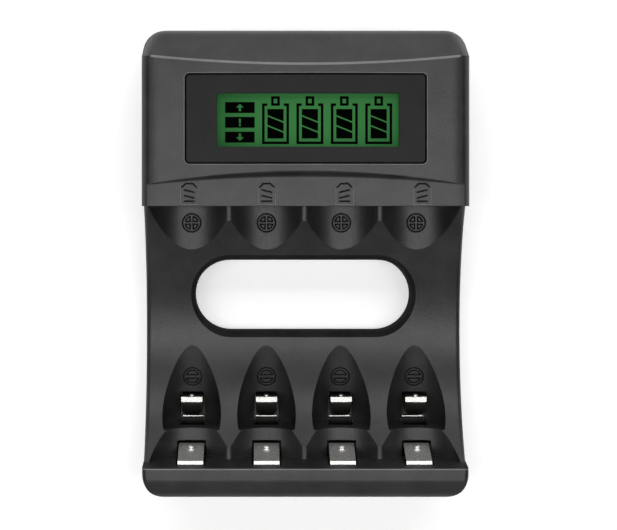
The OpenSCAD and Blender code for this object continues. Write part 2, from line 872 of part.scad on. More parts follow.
module filter_capacitors() {
    edge = 0.4;
    groove_z = can_h - can_groove_h;
    color("darkslateblue")
        for (s = [-1, 1])
            translate([s * can_x, can_y, board_z - can_h])
                rotate_extrude()
                    polygon([[0, 0], [can_r - edge, 0], [can_r, edge], [can_r, groove_z - edge],
                             [can_r - edge, groove_z], [can_r, groove_z + edge],
                             [can_r, can_h], [0, can_h]]);
}

module charge_transistors() {
    color(part_black)
        for (i = [0 : cell_count - 1])
            translate([bay_x(i), transistor_y, board_z - transistor_size[2] / 2])
                cube(transistor_size, center = true);
}

module discharge_resistors() {
    color(part_black)
        for (s = [-1, 1])
            for (k = [1, 2])
                translate([s * resistor_x, board_screw_y[0] + k * resistor_pitch, resistor_z])
                    cube(resistor_size, center = true);
}

module ribbon_cable() {
    color("lightgrey")
        translate([cable_x, 0, 0])
            across(cable_w)
                polygon(strip(cable_path, cable_t));
}

module positive_contact(i) {
    color(nickel)
        translate([bay_x(i), 0, 0])
            across(plus_w)
                polygon(strip(plus_path, metal_t));
}

module negative_strip(i) {
    color(nickel)
        translate([bay_x(i), 0, 0])
            union() {
                span([-aaa_leaf_w / 2, strip_y0, strip_z], [aaa_leaf_w / 2, strip_y1, strip_z + metal_t]);
                translate([0, bead_y, strip_z + metal_t])
                    rotate([0, 90, 0])
                        cylinder(d = bead_d, h = aaa_leaf_w, center = true);
            }
}

// Rolled root of a spring leaf, which it turns about
module leaf_root(y, w) {
    translate([0, y, root_z])
        rotate([0, 90, 0])
            cylinder(d = root_d, h = w, center = true);
}

module aa_contact(i) {
    color(nickel)
        translate([bay_x(i), 0, 0]) {
            leaf_root(aa_root_y, aa_leaf_w);
            across(aa_leaf_w)
                polygon(strip(aa_path, metal_t));
            translate([0, aa_dimple[0], aa_dimple[1]])
                sphere(aa_dimple_r);
        }
}

// Plan of the tongue of an AAA leaf, with rounded corners at its tip
module tongue_plan() {
    half = aaa_tongue_w / 2;
    straight = half - aaa_tongue_r;
    corner_y = aaa_tip[0] + aaa_tongue_r;
    span([-half, corner_y, 0], [half, aaa_head[0] + over, case_h]);
    span([-straight, aaa_tip[0] - over, 0], [straight, corner_y + over, case_h]);
    for (s = [-1, 1])
        translate([s * straight, corner_y, 0])
            cylinder(r = aaa_tongue_r, h = case_h);
}

module aaa_contact(i) {
    color(nickel)
        translate([bay_x(i), 0, 0]) {
            leaf_root(aaa_root_y, aaa_leaf_w);
            across(aaa_leaf_w)
                polygon(strip([for (k = [0 : 2]) aaa_path[k]], metal_t));
            intersection() {
                across(aaa_tongue_w)
                    polygon(strip([for (k = [1 : 3]) aaa_path[k]], metal_t));
                tongue_plan();
            }
            translate([0, aaa_bump[0], aaa_bump[1]])
                sphere(aaa_bump_r);
        }
}

module case_screws() {
    color("dimgrey")
        for (p = case_screw_places)
            translate([p[0], p[1], 0]) {
                translate([0, 0, post_seat_z - screw_head_h])
                    cylinder(d = screw_head_d, h = screw_head_h);
                translate([0, 0, post_seat_z - 0.2])
                    cylinder(d = screw_d, h = screw_reach - post_seat_z + 0.2);
            }
}

module board_screws() {
    color("dimgrey")
        for (p = board_screw_places)
            translate([p[0], p[1], board_z]) {
                translate([0, 0, -board_head_h])
                    cylinder(d = board_head_d, h = board_head_h);
                translate([0, 0, -0.2])
                    cylinder(d = board_screw_d, h = board_t + board_screw_bite);
            }
}

front_shell();
rear_cover();
display_bezel();
lcd_panel();
lcd_backlight();
lcd_frame();
circuit_board();
contact_board();
inlet_socket();
controller_chip();
power_inductor();
filter_capacitors();
charge_transistors();
discharge_resistors();
ribbon_cable();
for (i = [0 : cell_count - 1]) {
    positive_contact(i);
    negative_strip(i);
    aa_contact(i);
    aaa_contact(i);
}
case_screws();
board_screws();
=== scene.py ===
# %% [markdown]
# A desktop charger for AA and AAA cells
#
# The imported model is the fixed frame: every solid is already at its real size and place.
# This lesson gives the solids their finish, adds the moulded signs and the display's picture,
# and sets up the light and the camera. All places are in metres, in the frame of the model.

# %% Load the frame
import json
import math

import bmesh
import bpy
from mathutils import Matrix, Vector
from mathutils.bvhtree import BVHTree

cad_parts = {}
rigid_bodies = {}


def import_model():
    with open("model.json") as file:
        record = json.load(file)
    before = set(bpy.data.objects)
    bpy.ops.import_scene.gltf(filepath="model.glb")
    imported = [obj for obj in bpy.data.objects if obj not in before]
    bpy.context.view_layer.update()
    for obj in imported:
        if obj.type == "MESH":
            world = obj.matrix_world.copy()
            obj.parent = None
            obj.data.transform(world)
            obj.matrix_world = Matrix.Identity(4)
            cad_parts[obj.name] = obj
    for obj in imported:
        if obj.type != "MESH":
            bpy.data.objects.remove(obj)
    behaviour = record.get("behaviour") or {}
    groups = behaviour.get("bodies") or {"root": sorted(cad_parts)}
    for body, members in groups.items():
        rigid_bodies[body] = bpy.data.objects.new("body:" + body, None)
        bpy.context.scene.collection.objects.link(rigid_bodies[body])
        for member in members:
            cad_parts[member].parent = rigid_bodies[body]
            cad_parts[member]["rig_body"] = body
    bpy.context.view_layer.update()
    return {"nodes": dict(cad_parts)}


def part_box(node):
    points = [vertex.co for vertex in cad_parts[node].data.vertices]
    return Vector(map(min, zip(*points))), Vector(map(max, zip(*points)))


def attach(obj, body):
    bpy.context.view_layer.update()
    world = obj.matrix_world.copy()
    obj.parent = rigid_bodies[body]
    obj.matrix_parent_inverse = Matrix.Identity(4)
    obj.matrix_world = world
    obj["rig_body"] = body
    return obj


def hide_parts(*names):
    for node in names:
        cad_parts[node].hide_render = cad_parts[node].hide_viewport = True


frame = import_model()
MM = 0.001

# %% [markdown]
# The camera
#
# The photograph looks straight down from about a third of a metre. The point right under the lens
# is left of the middle and near the display's lip, so the lens is shifted instead of turned:
# a shift keeps the case's edges parallel, as they are in the photograph.

# %% Camera
PHOTO_W = 617
PHOTO_H = 530
SENSOR_W = 36.0
FOCAL_PX = 1689.0
UNDER_LENS_PX = (257.0, 195.0)
UNDER_LENS = Vector((-9.47, 13.585, 0.0)) * MM
LENS_HEIGHT = 352.5 * MM

camera_data = bpy.data.cameras.new("photo_camera")
camera_data.sensor_width = SENSOR_W
camera_data.lens = FOCAL_PX * SENSOR_W / PHOTO_W
camera_data.shift_x = (PHOTO_W / 2 - UNDER_LENS_PX[0]) / PHOTO_W
camera_data.shift_y = (UNDER_LENS_PX[1] - PHOTO_H / 2) / PHOTO_W
camera_data.clip_start = 0.01
camera = bpy.data.objects.new("photo_camera", camera_data)
camera.location = UNDER_LENS + Vector((0, 0, LENS_HEIGHT))
bpy.context.scene.collection.objects.link(camera)
bpy.context.scene.camera = camera
print("lens:", round(camera_data.lens, 1), "mm")

# %% [markdown]
# Helpers for finishes
#
# Colours are written as sRGB hex, as a colour picker shows them, and turned to linear light once.
# One function adds a shader node: plain values go to its sockets or settings, and sockets of
# other nodes are linked. Everything else is spelled out in each material's own cell.


# %% Colour and node helpers
def linear(hex_colour):
    """An sRGB hex colour as a linear RGBA tuple."""
    channels = [int(hex_colour[i : i + 2], 16) / 255 for i in (1, 3, 5)]
    return tuple(c / 12.92 if c <= 0.04045 else ((c + 0.055) / 1.055) ** 2.4 for c in channels) + (1.0,)


def add(tree, kind, **values):
    """Adds a node. A value that is a socket is linked, and any other value is set."""
    node = tree.nodes.new(kind)
    for name, value in values.items():
        spaced = name.replace("_", " ")
        socket = next((s for s in node.inputs if s.name == spaced and s.enabled), None)
        if isinstance(value, bpy.types.NodeSocket):
            tree.links.new(value, socket)
        elif socket is not None:
            socket.default_value = value
        else:
            setattr(node, name, value)
    return node


def start_material(name):
    """An empty material with its output, and the piece's own coordinates."""
    material = bpy.data.materials.new(name)
    material.use_nodes = True
    tree = material.node_tree
    tree.nodes.clear()
    output = tree.nodes.new("ShaderNodeOutputMaterial")
    place = tree.nodes.new("ShaderNodeTexCoord").outputs["Object"]
    return material, tree, output, place


def two_tones(tree, factor, low, high, dark, light):
    """A ramp from one hex colour to another over part of a factor's range."""
    ramp = tree.nodes.new("ShaderNodeValToRGB")
    ramp.color_ramp.elements[0].position = low
    ramp.color_ramp.elements[0].color = linear(dark)
    ramp.color_ramp.elements[1].position = high
    ramp.color_ramp.elements[1].color = linear(light)
    tree.links.new(factor, ramp.inputs["Fac"])
    return ramp.outputs["Color"]


print("a mid grey in linear light:", round(linear("#777777")[0], 3))

# %% [markdown]
# The case plastic
#
# The case halves are injection-moulded ABS with a fine spark-eroded texture: dark grey, satin, with grains
# about a third of a millimetre across. Moulded edges are never sharp, so the normals are rounded over
# about a fifth of a millimetre. A lighter, smoother plastic paints a highlight on the few edges that show
# as thin light lines in the photograph.

# %% Moulded ABS
GRAIN = 0.34 * MM
GRAIN_SHARE = 0.6
GRAIN_STRENGTH = 0.6
MOTTLE = 6.0 * MM
TONE_RANGE = (0.55, 1.05)
EDGE_ROUND = 0.22 * MM
EDGE_SAMPLES = 4
PLASTIC_IOR = 1.5


def moulded_abs(name, dark, light, roughness, grain_depth, specular=0.5):
    """Textured dark plastic: satin, finely grained, a little uneven in tone."""
    material, tree, output, place = start_material(name)
    grain = add(tree, "ShaderNodeTexNoise", Vector=place, Scale=1 / GRAIN, Detail=2.0, Roughness=0.6)
    mottle = add(tree, "ShaderNodeTexNoise", Vector=place, Scale=1 / MOTTLE, Detail=3.0)
    mixed = add(tree, "ShaderNodeMath", operation="MULTIPLY_ADD")
    tree.links.new(grain.outputs["Fac"], mixed.inputs[0])
    mixed.inputs[1].default_value = GRAIN_SHARE
    tree.links.new(mottle.outputs["Fac"], mixed.inputs[2])
    tone = two_tones(tree, mixed.outputs["Value"], *TONE_RANGE, dark, light)
    soft = add(tree, "ShaderNodeBevel", Radius=EDGE_ROUND, samples=EDGE_SAMPLES)
    bump = add(tree, "ShaderNodeBump", Height=grain.outputs["Fac"], Normal=soft.outputs["Normal"],
               Strength=GRAIN_STRENGTH, Distance=grain_depth)
    shader = add(tree, "ShaderNodeBsdfPrincipled", Base_Color=tone, Normal=bump.outputs["Normal"],
                 Roughness=roughness, IOR=PLASTIC_IOR, Specular_IOR_Level=specular)
    tree.links.new(shader.outputs["BSDF"], output.inputs["Surface"])
    return material


case_abs = moulded_abs("case_abs_moulded", "#19191a", "#2c2c2d", 0.36, 0.05 * MM)
# A lighter plastic that paints a highlight on a few edges and lines.
edge_highlight_abs = moulded_abs("abs_painted_highlight", "#666667", "#78787a", 0.34, 0.004 * MM)
bezel_abs = moulded_abs("bezel_abs_satin", "#1f1f20", "#252526", 0.40, 0.008 * MM, 0.12)
print("case plastic:", case_abs.name, "grain", GRAIN / MM, "mm")

# %% [markdown]
# Contact metal
#
# The contacts are nickel-plated spring steel, stamped from strip and bent. Rolled strip has fine lines
# along its length, so the noise is stretched many times along one axis. Faces that stand deep in the case
# mirror only dark plastic in the photograph, and darker copies of the plate stand for that as painted
# shade; a lighter, matt copy paints a highlight on the rim of each AAA tongue.

# %% Nickel plate
AXIS_X, AXIS_Y, AXIS_Z = range(3)
ROLL_LINE = 0.12 * MM
ROLL_STRETCH = 14.0
ROLL_DEPTH = 0.006 * MM
ROLL_STRENGTH = 0.25
ROUGH_SPREAD = (0.8, 1.3)
STRIP_ROUND = 0.1 * MM


def nickel_plate(name, colour, roughness, axis, metallic=1.0):
    """Bright plated strip with fine rolling lines along one axis."""
    material, tree, output, place = start_material(name)
    stretch = [1 / ROLL_LINE] * 3
    stretch[axis] /= ROLL_STRETCH
    lines = add(tree, "ShaderNodeMapping", Vector=place, Scale=stretch)
    streaks = add(tree, "ShaderNodeTexNoise", Vector=lines.outputs["Vector"], Scale=1.0, Detail=2.0)
    rough = add(tree, "ShaderNodeMapRange", Value=streaks.outputs["Fac"])
    rough.inputs["To Min"].default_value = roughness * ROUGH_SPREAD[0]
    rough.inputs["To Max"].default_value = roughness * ROUGH_SPREAD[1]
    soft = add(tree, "ShaderNodeBevel", Radius=STRIP_ROUND, samples=EDGE_SAMPLES)
    bump = add(tree, "ShaderNodeBump", Height=streaks.outputs["Fac"], Normal=soft.outputs["Normal"],
               Strength=ROLL_STRENGTH, Distance=ROLL_DEPTH)
    shader = add(tree, "ShaderNodeBsdfPrincipled", Base_Color=linear(colour), Metallic=metallic,
                 Roughness=rough.outputs["Result"], Normal=bump.outputs["Normal"])
    tree.links.new(shader.outputs["BSDF"], output.inputs["Surface"])
    return material


leaf_nickel = nickel_plate("leaf_nickel_rolled", "#d6d5d1", 0.2, AXIS_Z)
plate_nickel = nickel_plate("plate_nickel_satin", "#d2d1cd", 0.24, AXIS_Z, metallic=0.78)
# Painted shade: darker copies of the plate for the contacts' faces that lie in shade.
tongue_painted_shade = nickel_plate("nickel_plate_painted_tongue_shade", "#70706d", 0.3, AXIS_Z)
nickel_in_painted_shade = nickel_plate("nickel_plate_painted_shade", "#363635", 0.35, AXIS_Z)
strip_painted_deep_shade = nickel_plate("nickel_plate_painted_deep_shade", "#242423", 0.35, AXIS_Z)
# A painted highlight on the rim of each AAA tongue.
rim_painted_highlight = nickel_plate("nickel_plate_painted_rim_highlight", "#8f8e8a", 0.5, AXIS_Z, metallic=0.2)
strip_nickel = nickel_plate("strip_nickel_dull", "#8d8c88", 0.3, AXIS_Y)
screw_zinc = nickel_plate("screw_zinc_plate", "#8f8f92", 0.35, AXIS_X)
print("metals:", leaf_nickel.name, strip_nickel.name, screw_zinc.name)

# %% [markdown]
# The display's glass
#
# A liquid crystal panel lit from behind: a green polariser with a faint weave from the diffuser, with
# painted shade that darkens it from the middle towards its edges, where the bezel's recess shades it. It
# glows a little by itself. Films are its switched-on segments, and the same matt film in near-black tones
# is painted shade in the sunk lines and on the bezel's seat.

# %% Lit green glass
DIFFUSER = 0.5 * MM
EDGE_POWER = 3.0
WEAVE_SHARE = 0.25
# Moves the middle of the painted edge shade off the panel's middle.
EDGE_DARKENING_SHIFT = Vector((3.0, 1.5, 0.0)) * MM
GLOW_RANGE = (0.1, 1.0)
NOISE_RANGE = (0.3, 0.8)
FILM_ROUGHNESS = 0.5
FILM_IOR = 1.49


def edge_distance(tree, place, low, high):
    """Grows from nothing in the middle of a box to one at its sides, in X and Y."""
    half = [(b - a) / 2 for a, b in zip(low, high)]
    middle = [(a + b) / 2 for a, b in zip(low, high)]
    centred = add(tree, "ShaderNodeMapping", Vector=place, Scale=(1 / half[0], 1 / half[1], 1),
                  Location=(-middle[0] / half[0], -middle[1] / half[1], 0))
    parts = tree.nodes.new("ShaderNodeSeparateXYZ")
    tree.links.new(centred.outputs["Vector"], parts.inputs["Vector"])
    steep = []
    for side in ("X", "Y"):
        size = add(tree, "ShaderNodeMath", operation="ABSOLUTE", Value=parts.outputs[side])
        power = add(tree, "ShaderNodeMath", operation="POWER", Value=size.outputs["Value"])
        power.inputs[1].default_value = EDGE_POWER
        steep.append(power.outputs["Value"])
    total = add(tree, "ShaderNodeMath", operation="ADD", Value=steep[0])
    tree.links.new(steep[1], total.inputs[1])
    return total.outputs["Value"]


def lit_glass(name, dark, light, glow):
    """Satin green film over a back light, with painted shade towards the panel's edges, a little mottled.
    """
    material, tree, output, place = start_material(name)
    weave = add(tree, "ShaderNodeTexNoise", Vector=place, Scale=1 / DIFFUSER, Detail=1.0)
    low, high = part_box("lcd_panel")
    away = edge_distance(tree, place, low, [a + b for a, b in zip(high, EDGE_DARKENING_SHIFT)])
    mixed = add(tree, "ShaderNodeMath", operation="MULTIPLY_ADD", Value=weave.outputs["Fac"])
    mixed.inputs[1].default_value = WEAVE_SHARE
    tree.links.new(away, mixed.inputs[2])
    tone = two_tones(tree, mixed.outputs["Value"], *GLOW_RANGE, light, dark)
    shader = add(tree, "ShaderNodeBsdfPrincipled", Base_Color=tone, Roughness=FILM_ROUGHNESS, IOR=FILM_IOR,
                 Specular_IOR_Level=0.02, Emission_Color=tone, Emission_Strength=glow)
    tree.links.new(shader.outputs["BSDF"], output.inputs["Surface"])
    return material


def dark_film(name, dark, light):
    """Switched-on segments, and painted shade on the bezel's seat and in sunk lines: near black, matt, a
    little uneven.
    """
    material, tree, output, place = start_material(name)
    weave = add(tree, "ShaderNodeTexNoise", Vector=place, Scale=1 / DIFFUSER, Detail=1.0)
    tone = two_tones(tree, weave.outputs["Fac"], *NOISE_RANGE, dark, light)
    shader = add(tree, "ShaderNodeBsdfPrincipled", Base_Color=tone, Roughness=FILM_ROUGHNESS, IOR=FILM_IOR,
                 Specular_IOR_Level=0.0)
    tree.links.new(shader.outputs["BSDF"], output.inputs["Surface"])
    return material


panel_green = lit_glass("panel_green_lit", "#1f4c27", "#326c39", 0.35)
segment_black = dark_film("segment_black_film", "#020302", "#040604")
# Painted shade: near black in the sunk lines and on the bezel's seat.
sign_painted_shade = dark_film("sign_sunk_painted_shade", "#242424", "#2c2c2c")
seat_painted_shade = dark_film("bezel_seat_painted_shade", "#141414", "#1a1a1a")
print("display:", panel_green.name, segment_black.name)

# %% [markdown]
# Finishes inside the case
#
# The boards are glass-epoxy laminate under a green solder mask, with copper tracks that show as a
# paler pattern. The parts on them are moulded epoxy, the cans wear a shrunk sleeve, and the flat
# cable is ribbed along its wires.

# %% Board, parts and cable
TRACK = 1.6 * MM
TRACK_WIDTH = 0.06
WIRE_PITCH = 0.95 * MM
RIB_RANGE = (0.1, 0.6)
RIB_DEPTH = 0.1 * MM


def solder_mask(name, mask, track):
    """Green laminate with tracks as a pattern of paler bricks."""
    material, tree, output, place = start_material(name)
    tracks = add(tree, "ShaderNodeTexBrick", Vector=place, Scale=1 / TRACK, Color1=linear(mask),
                 Color2=linear(mask), Mortar=linear(track), Mortar_Size=TRACK_WIDTH)
    shader = add(tree, "ShaderNodeBsdfPrincipled", Base_Color=tracks.outputs["Color"], Roughness=0.35,
                 IOR=PLASTIC_IOR)
    tree.links.new(shader.outputs["BSDF"], output.inputs["Surface"])
    return material


def flat_cable(name, jacket, groove):
    """Grey jacket ribbed over parallel wires across X."""
    material, tree, output, place = start_material(name)
    ribs = add(tree, "ShaderNodeTexWave", Vector=place, Scale=2 / (WIRE_PITCH * math.tau),
               bands_direction="X")
    tone = two_tones(tree, ribs.outputs["Fac"], *RIB_RANGE, groove, jacket)
    bump = add(tree, "ShaderNodeBump", Height=ribs.outputs["Fac"], Strength=0.5, Distance=RIB_DEPTH)
    shader = add(tree, "ShaderNodeBsdfPrincipled", Base_Color=tone, Normal=bump.outputs["Normal"],
                 Roughness=0.5)
    tree.links.new(shader.outputs["BSDF"], output.inputs["Surface"])
    return material


board_mask = solder_mask("board_solder_mask", "#1d5236", "#3c7a50")
contact_mask = solder_mask("board_mask_black", "#0d110f", "#171d19")
part_epoxy = moulded_abs("part_epoxy_moulded", "#151516", "#1e1e20", 0.5, 0.01 * MM)
can_sleeve = moulded_abs("can_sleeve_film", "#1c1d3f", "#24264c", 0.3, 0.004 * MM)
frame_abs = moulded_abs("frame_abs_white", "#d8d7d0", "#e6e5de", 0.45, 0.01 * MM)
cable_grey = flat_cable("cable_grey_ribbed", "#b4b4b6", "#77777a")
print("inside finishes:", board_mask.name, part_epoxy.name, cable_grey.name)

# %% [markdown]
# Flat plans for signs and display pictures
#
# The polarity signs and cell signs are moulded into the case, and the display's picture is a film.
# Both start as flat plans. A ring is two bridged circles, a pie piece is a disc cut by planes, an
# outline is a face with an inset whose middle is taken out, and a stroke is a stretched square.

# %% Plan shapes
ARC_STEPS = 48
PIE_WELD = 0.06 * MM


def ring_plan(bm, outer, width):
    """A flat ring about the origin."""
    for radius in (outer, outer - width):
        bmesh.ops.create_circle(bm, segments=ARC_STEPS, radius=radius)
    bmesh.ops.bridge_loops(bm, edges=bm.edges[:])


def bar_plan(bm, centre, length, width, slant=0.0):
    """A straight stroke, turned by its slant."""
    made = bmesh.ops.create_grid(bm, x_segments=1, y_segments=1, size=0.5)
    bmesh.ops.scale(bm, verts=made["verts"], vec=(length, width, 1))
    bmesh.ops.rotate(bm, verts=made["verts"], cent=(0, 0, 0), matrix=Matrix.Rotation(slant, 3, "Z"))
    bmesh.ops.translate(bm, verts=made["verts"], vec=(centre[0], centre[1], 0))


def rectangle(low, high):
    """Corners of an upright rectangle."""
    return [(low[0], low[1]), (high[0], low[1]), (high[0], high[1]), (low[0], high[1])]


def face_plan(bm, corners):
    """A flat face through a few corners."""
    return bm.faces.new([bm.verts.new((x, y, 0)) for x, y in corners])


def border_only(bm, faces, width):
    """Keeps only a border of each face."""
    for face in faces:
        face.normal_update()
    bmesh.ops.inset_region(bm, faces=faces, thickness=width, use_boundary=True, use_even_offset=True)
    bmesh.ops.delete(bm, geom=faces, context="FACES_ONLY")


def outline_plan(bm, corners, width):
    """The border of a face, as wide as a line."""
    border_only(bm, [face_plan(bm, corners)], width)


def pie_plan(bm, radius, turn, sides, width):
    """The border of the part of a disc beyond each side: pairs of a normal and a distance."""
    pie = bmesh.new()
    bmesh.ops.create_circle(pie, cap_ends=True, segments=ARC_STEPS, radius=radius)
    for normal, distance in sides:
        everything = pie.verts[:] + pie.edges[:] + pie.faces[:]
        bmesh.ops.bisect_plane(pie, geom=everything, plane_co=Vector(normal) * distance, plane_no=normal,
                               clear_inner=True)
    bmesh.ops.remove_doubles(pie, verts=pie.verts, dist=PIE_WELD)
    border_only(pie, pie.faces[:], width)
    bmesh.ops.rotate(pie, verts=pie.verts, cent=(0, 0, 0), matrix=Matrix.Rotation(turn, 3, "Z"))
    mesh = bpy.data.meshes.new("pie_plan")
    pie.to_mesh(mesh)
    pie.free()
    bm.from_mesh(mesh)


def joined(parts):
    """One mesh from many."""
    bm = bmesh.new()
    for part in parts:
        bm.from_mesh(part)
    mesh = bpy.data.meshes.new("joined_plans")
    bm.to_mesh(mesh)
    bm.free()
    return mesh


print("arc steps:", ARC_STEPS)

# %% [markdown]
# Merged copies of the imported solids
#
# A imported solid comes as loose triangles, so each piece that shows gets a merged copy. Weighted
# normals keep its flat faces flat beside the rounded ones. Faces that are cut from a true cylinder,
# such as the cradles and the sweep of the bay, take their normals from that cylinder's axis, because
# long thin triangles would smear them. Slivers that a bevel or a cut leaves beside a piece are deleted.

# %% Merge, engrave and shade
SHARP_ANGLE = math.radians(28)
ON_ROUND = 0.02 * MM
FLAT_ANGLE = math.radians(0.2)
ALIGNED = 0.9
MERGE = 0.002 * MM


def weld(bm):
    """Merges points that coincide, and dissolves edges and faces without size."""
    bmesh.ops.remove_doubles(bm, verts=bm.verts, dist=MERGE)
    bmesh.ops.dissolve_degenerate(bm, edges=bm.edges, dist=MERGE / 2)


def drop_slivers(bm):
    """Keeps the piece itself, and deletes the slivers that a bevel or a cut leaves beside it."""
    left = set(bm.faces)
    islands = []
    while left:
        front = [left.pop()]
        island = []
        while front:
            face = front.pop()
            island.append(face)
            beside = {f for e in face.edges if e.is_manifold for f in e.link_faces} & left
            left -= beside
            front.extend(beside)
        islands.append(island)
    islands.sort(key=len)
    bmesh.ops.delete(bm, geom=[f for island in islands[:-1] for f in island], context="FACES")


def merged_copy(node, shape):
    """A closed mesh from a solid's loose triangles, with its edges softened or its faces sorted."""
    bm = bmesh.new()
    bm.from_mesh(frame["nodes"][node].data)
    weld(bm)
    if shape is not None:
        shape(bm)
    mesh = bpy.data.meshes.new(node + "_dressed")
    bm.to_mesh(mesh)
    bm.free()
    return mesh


def baked(piece):
    """A piece's mesh with its modifiers applied."""
    graph = bpy.context.evaluated_depsgraph_get()
    return bpy.data.meshes.new_from_object(piece.evaluated_get(graph), preserve_all_data_layers=True,
                                           depsgraph=graph)


def engrave(piece, cutter_mesh):
    """Cuts a piece by closed cutters."""
    cutter = bpy.data.objects.new("cutter", cutter_mesh)
    bpy.context.scene.collection.objects.link(cutter)
    cut = piece.modifiers.new("engrave", "BOOLEAN")
    cut.operation = "DIFFERENCE"
    cut.solver = "EXACT"
    cut.use_self = True
    cut.object = cutter
    piece.data = baked(piece)
    piece.modifiers.clear()
    bpy.data.objects.remove(cutter)


def mark_edges(mesh):
    """One clean part with smooth faces, and with sharp edges by angle."""
    bm = bmesh.new()
    bm.from_mesh(mesh)
    drop_slivers(bm)
    for face in bm.faces:
        face.smooth = True
    for edge in bm.edges:
        edge.smooth = edge.calc_face_angle(math.pi) < SHARP_ANGLE
    bm.to_mesh(mesh)
    bm.free()


def radial(round_face, point):
    """The way from a cylinder's axis to a point."""
    away = point - round_face["centre"]
    return away - round_face["axis"] * away.dot(round_face["axis"])


def cylinder_normals(mesh, rounds, touch):
    """Corner normals of the mesh, with true ones on the faces that lie on a listed cylinder."""
    normals = [corner.vector.copy() for corner in mesh.corner_normals]
    for face in mesh.polygons:
        points = [mesh.vertices[v].co for v in face.vertices]
        for one in rounds:
            if any(abs(radial(one, p).length - one["radius"]) > ON_ROUND for p in points):
                continue
            if radial(one, face.center).normalized().dot(face.normal) * one["side"] < ALIGNED:
                continue
            for loop, point in zip(face.loop_indices, points):
                normals[loop] = radial(one, point).normalized() * one["side"]
            break
        for loop, point in zip(face.loop_indices, points):
            normals[loop] = touch(face, point, normals[loop])
    return normals


def untouched(face, point, normal):
    """Leaves a normal as it is."""
    return normal


def dress(node, materials, shape=None, cutter_mesh=None, rounds=(), touch=untouched):
    """A merged, engraved and smoothly shaded copy of a solid, which stands for it."""
    piece = bpy.data.objects.new(node + "_dressed", merged_copy(node, shape))
    for material in materials:
        piece.data.materials.append(material)
    bpy.context.scene.collection.objects.link(piece)
    if cutter_mesh is not None:
        engrave(piece, cutter_mesh)
    mark_edges(piece.data)
    weighted = piece.modifiers.new("weighted_normals", "WEIGHTED_NORMAL")
    weighted.keep_sharp = True
    piece.data = baked(piece)
    piece.modifiers.clear()
    if rounds:
        piece.data.normals_split_custom_set(cylinder_normals(piece.data, rounds, touch))
    piece.data.name = node + "_dressed"
    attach(piece, frame["nodes"][node]["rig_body"])
    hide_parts(node)
    return piece


print("sharp edges from:", round(math.degrees(SHARP_ANGLE)), "degrees")

# %% [markdown]
# Moulded signs
#
# Each AA cradle has a plus in a ring, each AAA groove a minus in a ring, and the band behind the lip
# a small cell for each bay, whose strokes lean one way on the left and the other way on the right.
# The dark lines are sunk four tenths of a millimetre and get painted shade, and the light line round a
# small cell is only a scratch with a painted highlight. The cutters follow the surface below them: a ray
# cast straight down finds its height under each corner of a flat plan.

# %% Sign plans
LIP_Y = 11.425 * MM
CELLS = 4
PITCH = 15.1 * MM
CELL_X = [(i - (CELLS - 1) / 2) * PITCH for i in range(CELLS)]
SIGN_R = 1.95 * MM
SIGN_LINE = 0.25 * MM
SIGN_DISC = 1.42 * MM
SIGN_ARM = 0.14 * MM
MINUS_ARM = 0.24 * MM
PLUS_Y = LIP_Y - 3.45 * MM
MINUS_Y = LIP_Y - 35.0 * MM
CELL_SIGN_Y = LIP_Y + 2.4 * MM
BODY_HALF = 1.75 * MM
BODY_LOW = -2.18 * MM
BODY_LINE = 0.13 * MM
CAP_LOW = 1.22 * MM
CAP_FOOT = Vector((1.55, 1.3)) * MM
CAP_SHOULDER = Vector((1.05, 1.8)) * MM
CAP_TOP = Vector((0.75, 2.1)) * MM
STROKE_L = 2.1 * MM
STROKE_SLANT = math.radians(14)
STROKES = [(0.52 * MM, 1), (-0.59 * MM, 1), (-1.46 * MM, 0)]


def plus_sign(bm):
    """A ring round the outlines of four quarters, which leave a plus between them."""
    ring_plan(bm, SIGN_R, SIGN_LINE)
    for quarter in range(4):
        sides = [((1, 0, 0), SIGN_ARM), ((0, 1, 0), SIGN_ARM)]
        pie_plan(bm, SIGN_DISC, quarter * math.pi / 2, sides, SIGN_LINE)


def minus_sign(bm):
    """A ring round the outlines of two halves, which leave a minus between them."""
    ring_plan(bm, SIGN_R, SIGN_LINE)
    for half in range(2):
        pie_plan(bm, SIGN_DISC, half * math.pi, [((0, 1, 0), MINUS_ARM)], SIGN_LINE)


def kept(plan_bm, height, above):
    """The part of a plan above or below a height, as a mesh."""
    everything = plan_bm.verts[:] + plan_bm.edges[:] + plan_bm.faces[:]
    bmesh.ops.bisect_plane(plan_bm, geom=everything, plane_co=(0, height, 0), plane_no=(0, 1, 0),
                           clear_inner=above, clear_outer=not above)
    mesh = bpy.data.meshes.new("kept_plan")
    plan_bm.to_mesh(mesh)
    plan_bm.free()
    return mesh


def cell_body(bm):
    """A thin line round the body of a small cell, open at its top."""
    body = bmesh.new()
    outline_plan(body, rectangle((-BODY_HALF, BODY_LOW), (BODY_HALF, CAP_LOW * 2)), BODY_LINE)
    bm.from_mesh(kept(body, CAP_LOW, above=False))


def cell_mark(lean):
    """A plan of a small cell's cap line and the three strokes inside."""
    def plan(bm):
        right = [(CAP_FOOT.x, 0), tuple(CAP_FOOT), tuple(CAP_SHOULDER), tuple(CAP_TOP)]
        cap = bmesh.new()
        outline_plan(cap, right + [(-x, y) for x, y in reversed(right)], SIGN_LINE)
        bm.from_mesh(kept(cap, CAP_LOW, above=True))
        for height, slant in STROKES:
            bar_plan(bm, (0, height), STROKE_L, SIGN_LINE, slant * lean * STROKE_SLANT)
    return plan


print("signs:", 3 * len(CELL_X), "of radius", SIGN_R / MM, "mm")

# %% Cutters that follow the surface
SIGN_DEPTH = 0.4 * MM
SIGN_LIFT = 0.4 * MM
LINE_DEPTH = 0.05 * MM
ABOVE_CASE = 0.1
# Slots of the shell's finish: painted shade in the sunk lines, a painted highlight on soft edges and
# scratches, painted shade on the bezel's seat.
SUNK_DARKENED, EDGE_HIGHLIGHT, SEAT_DARKENED = range(1, 4)

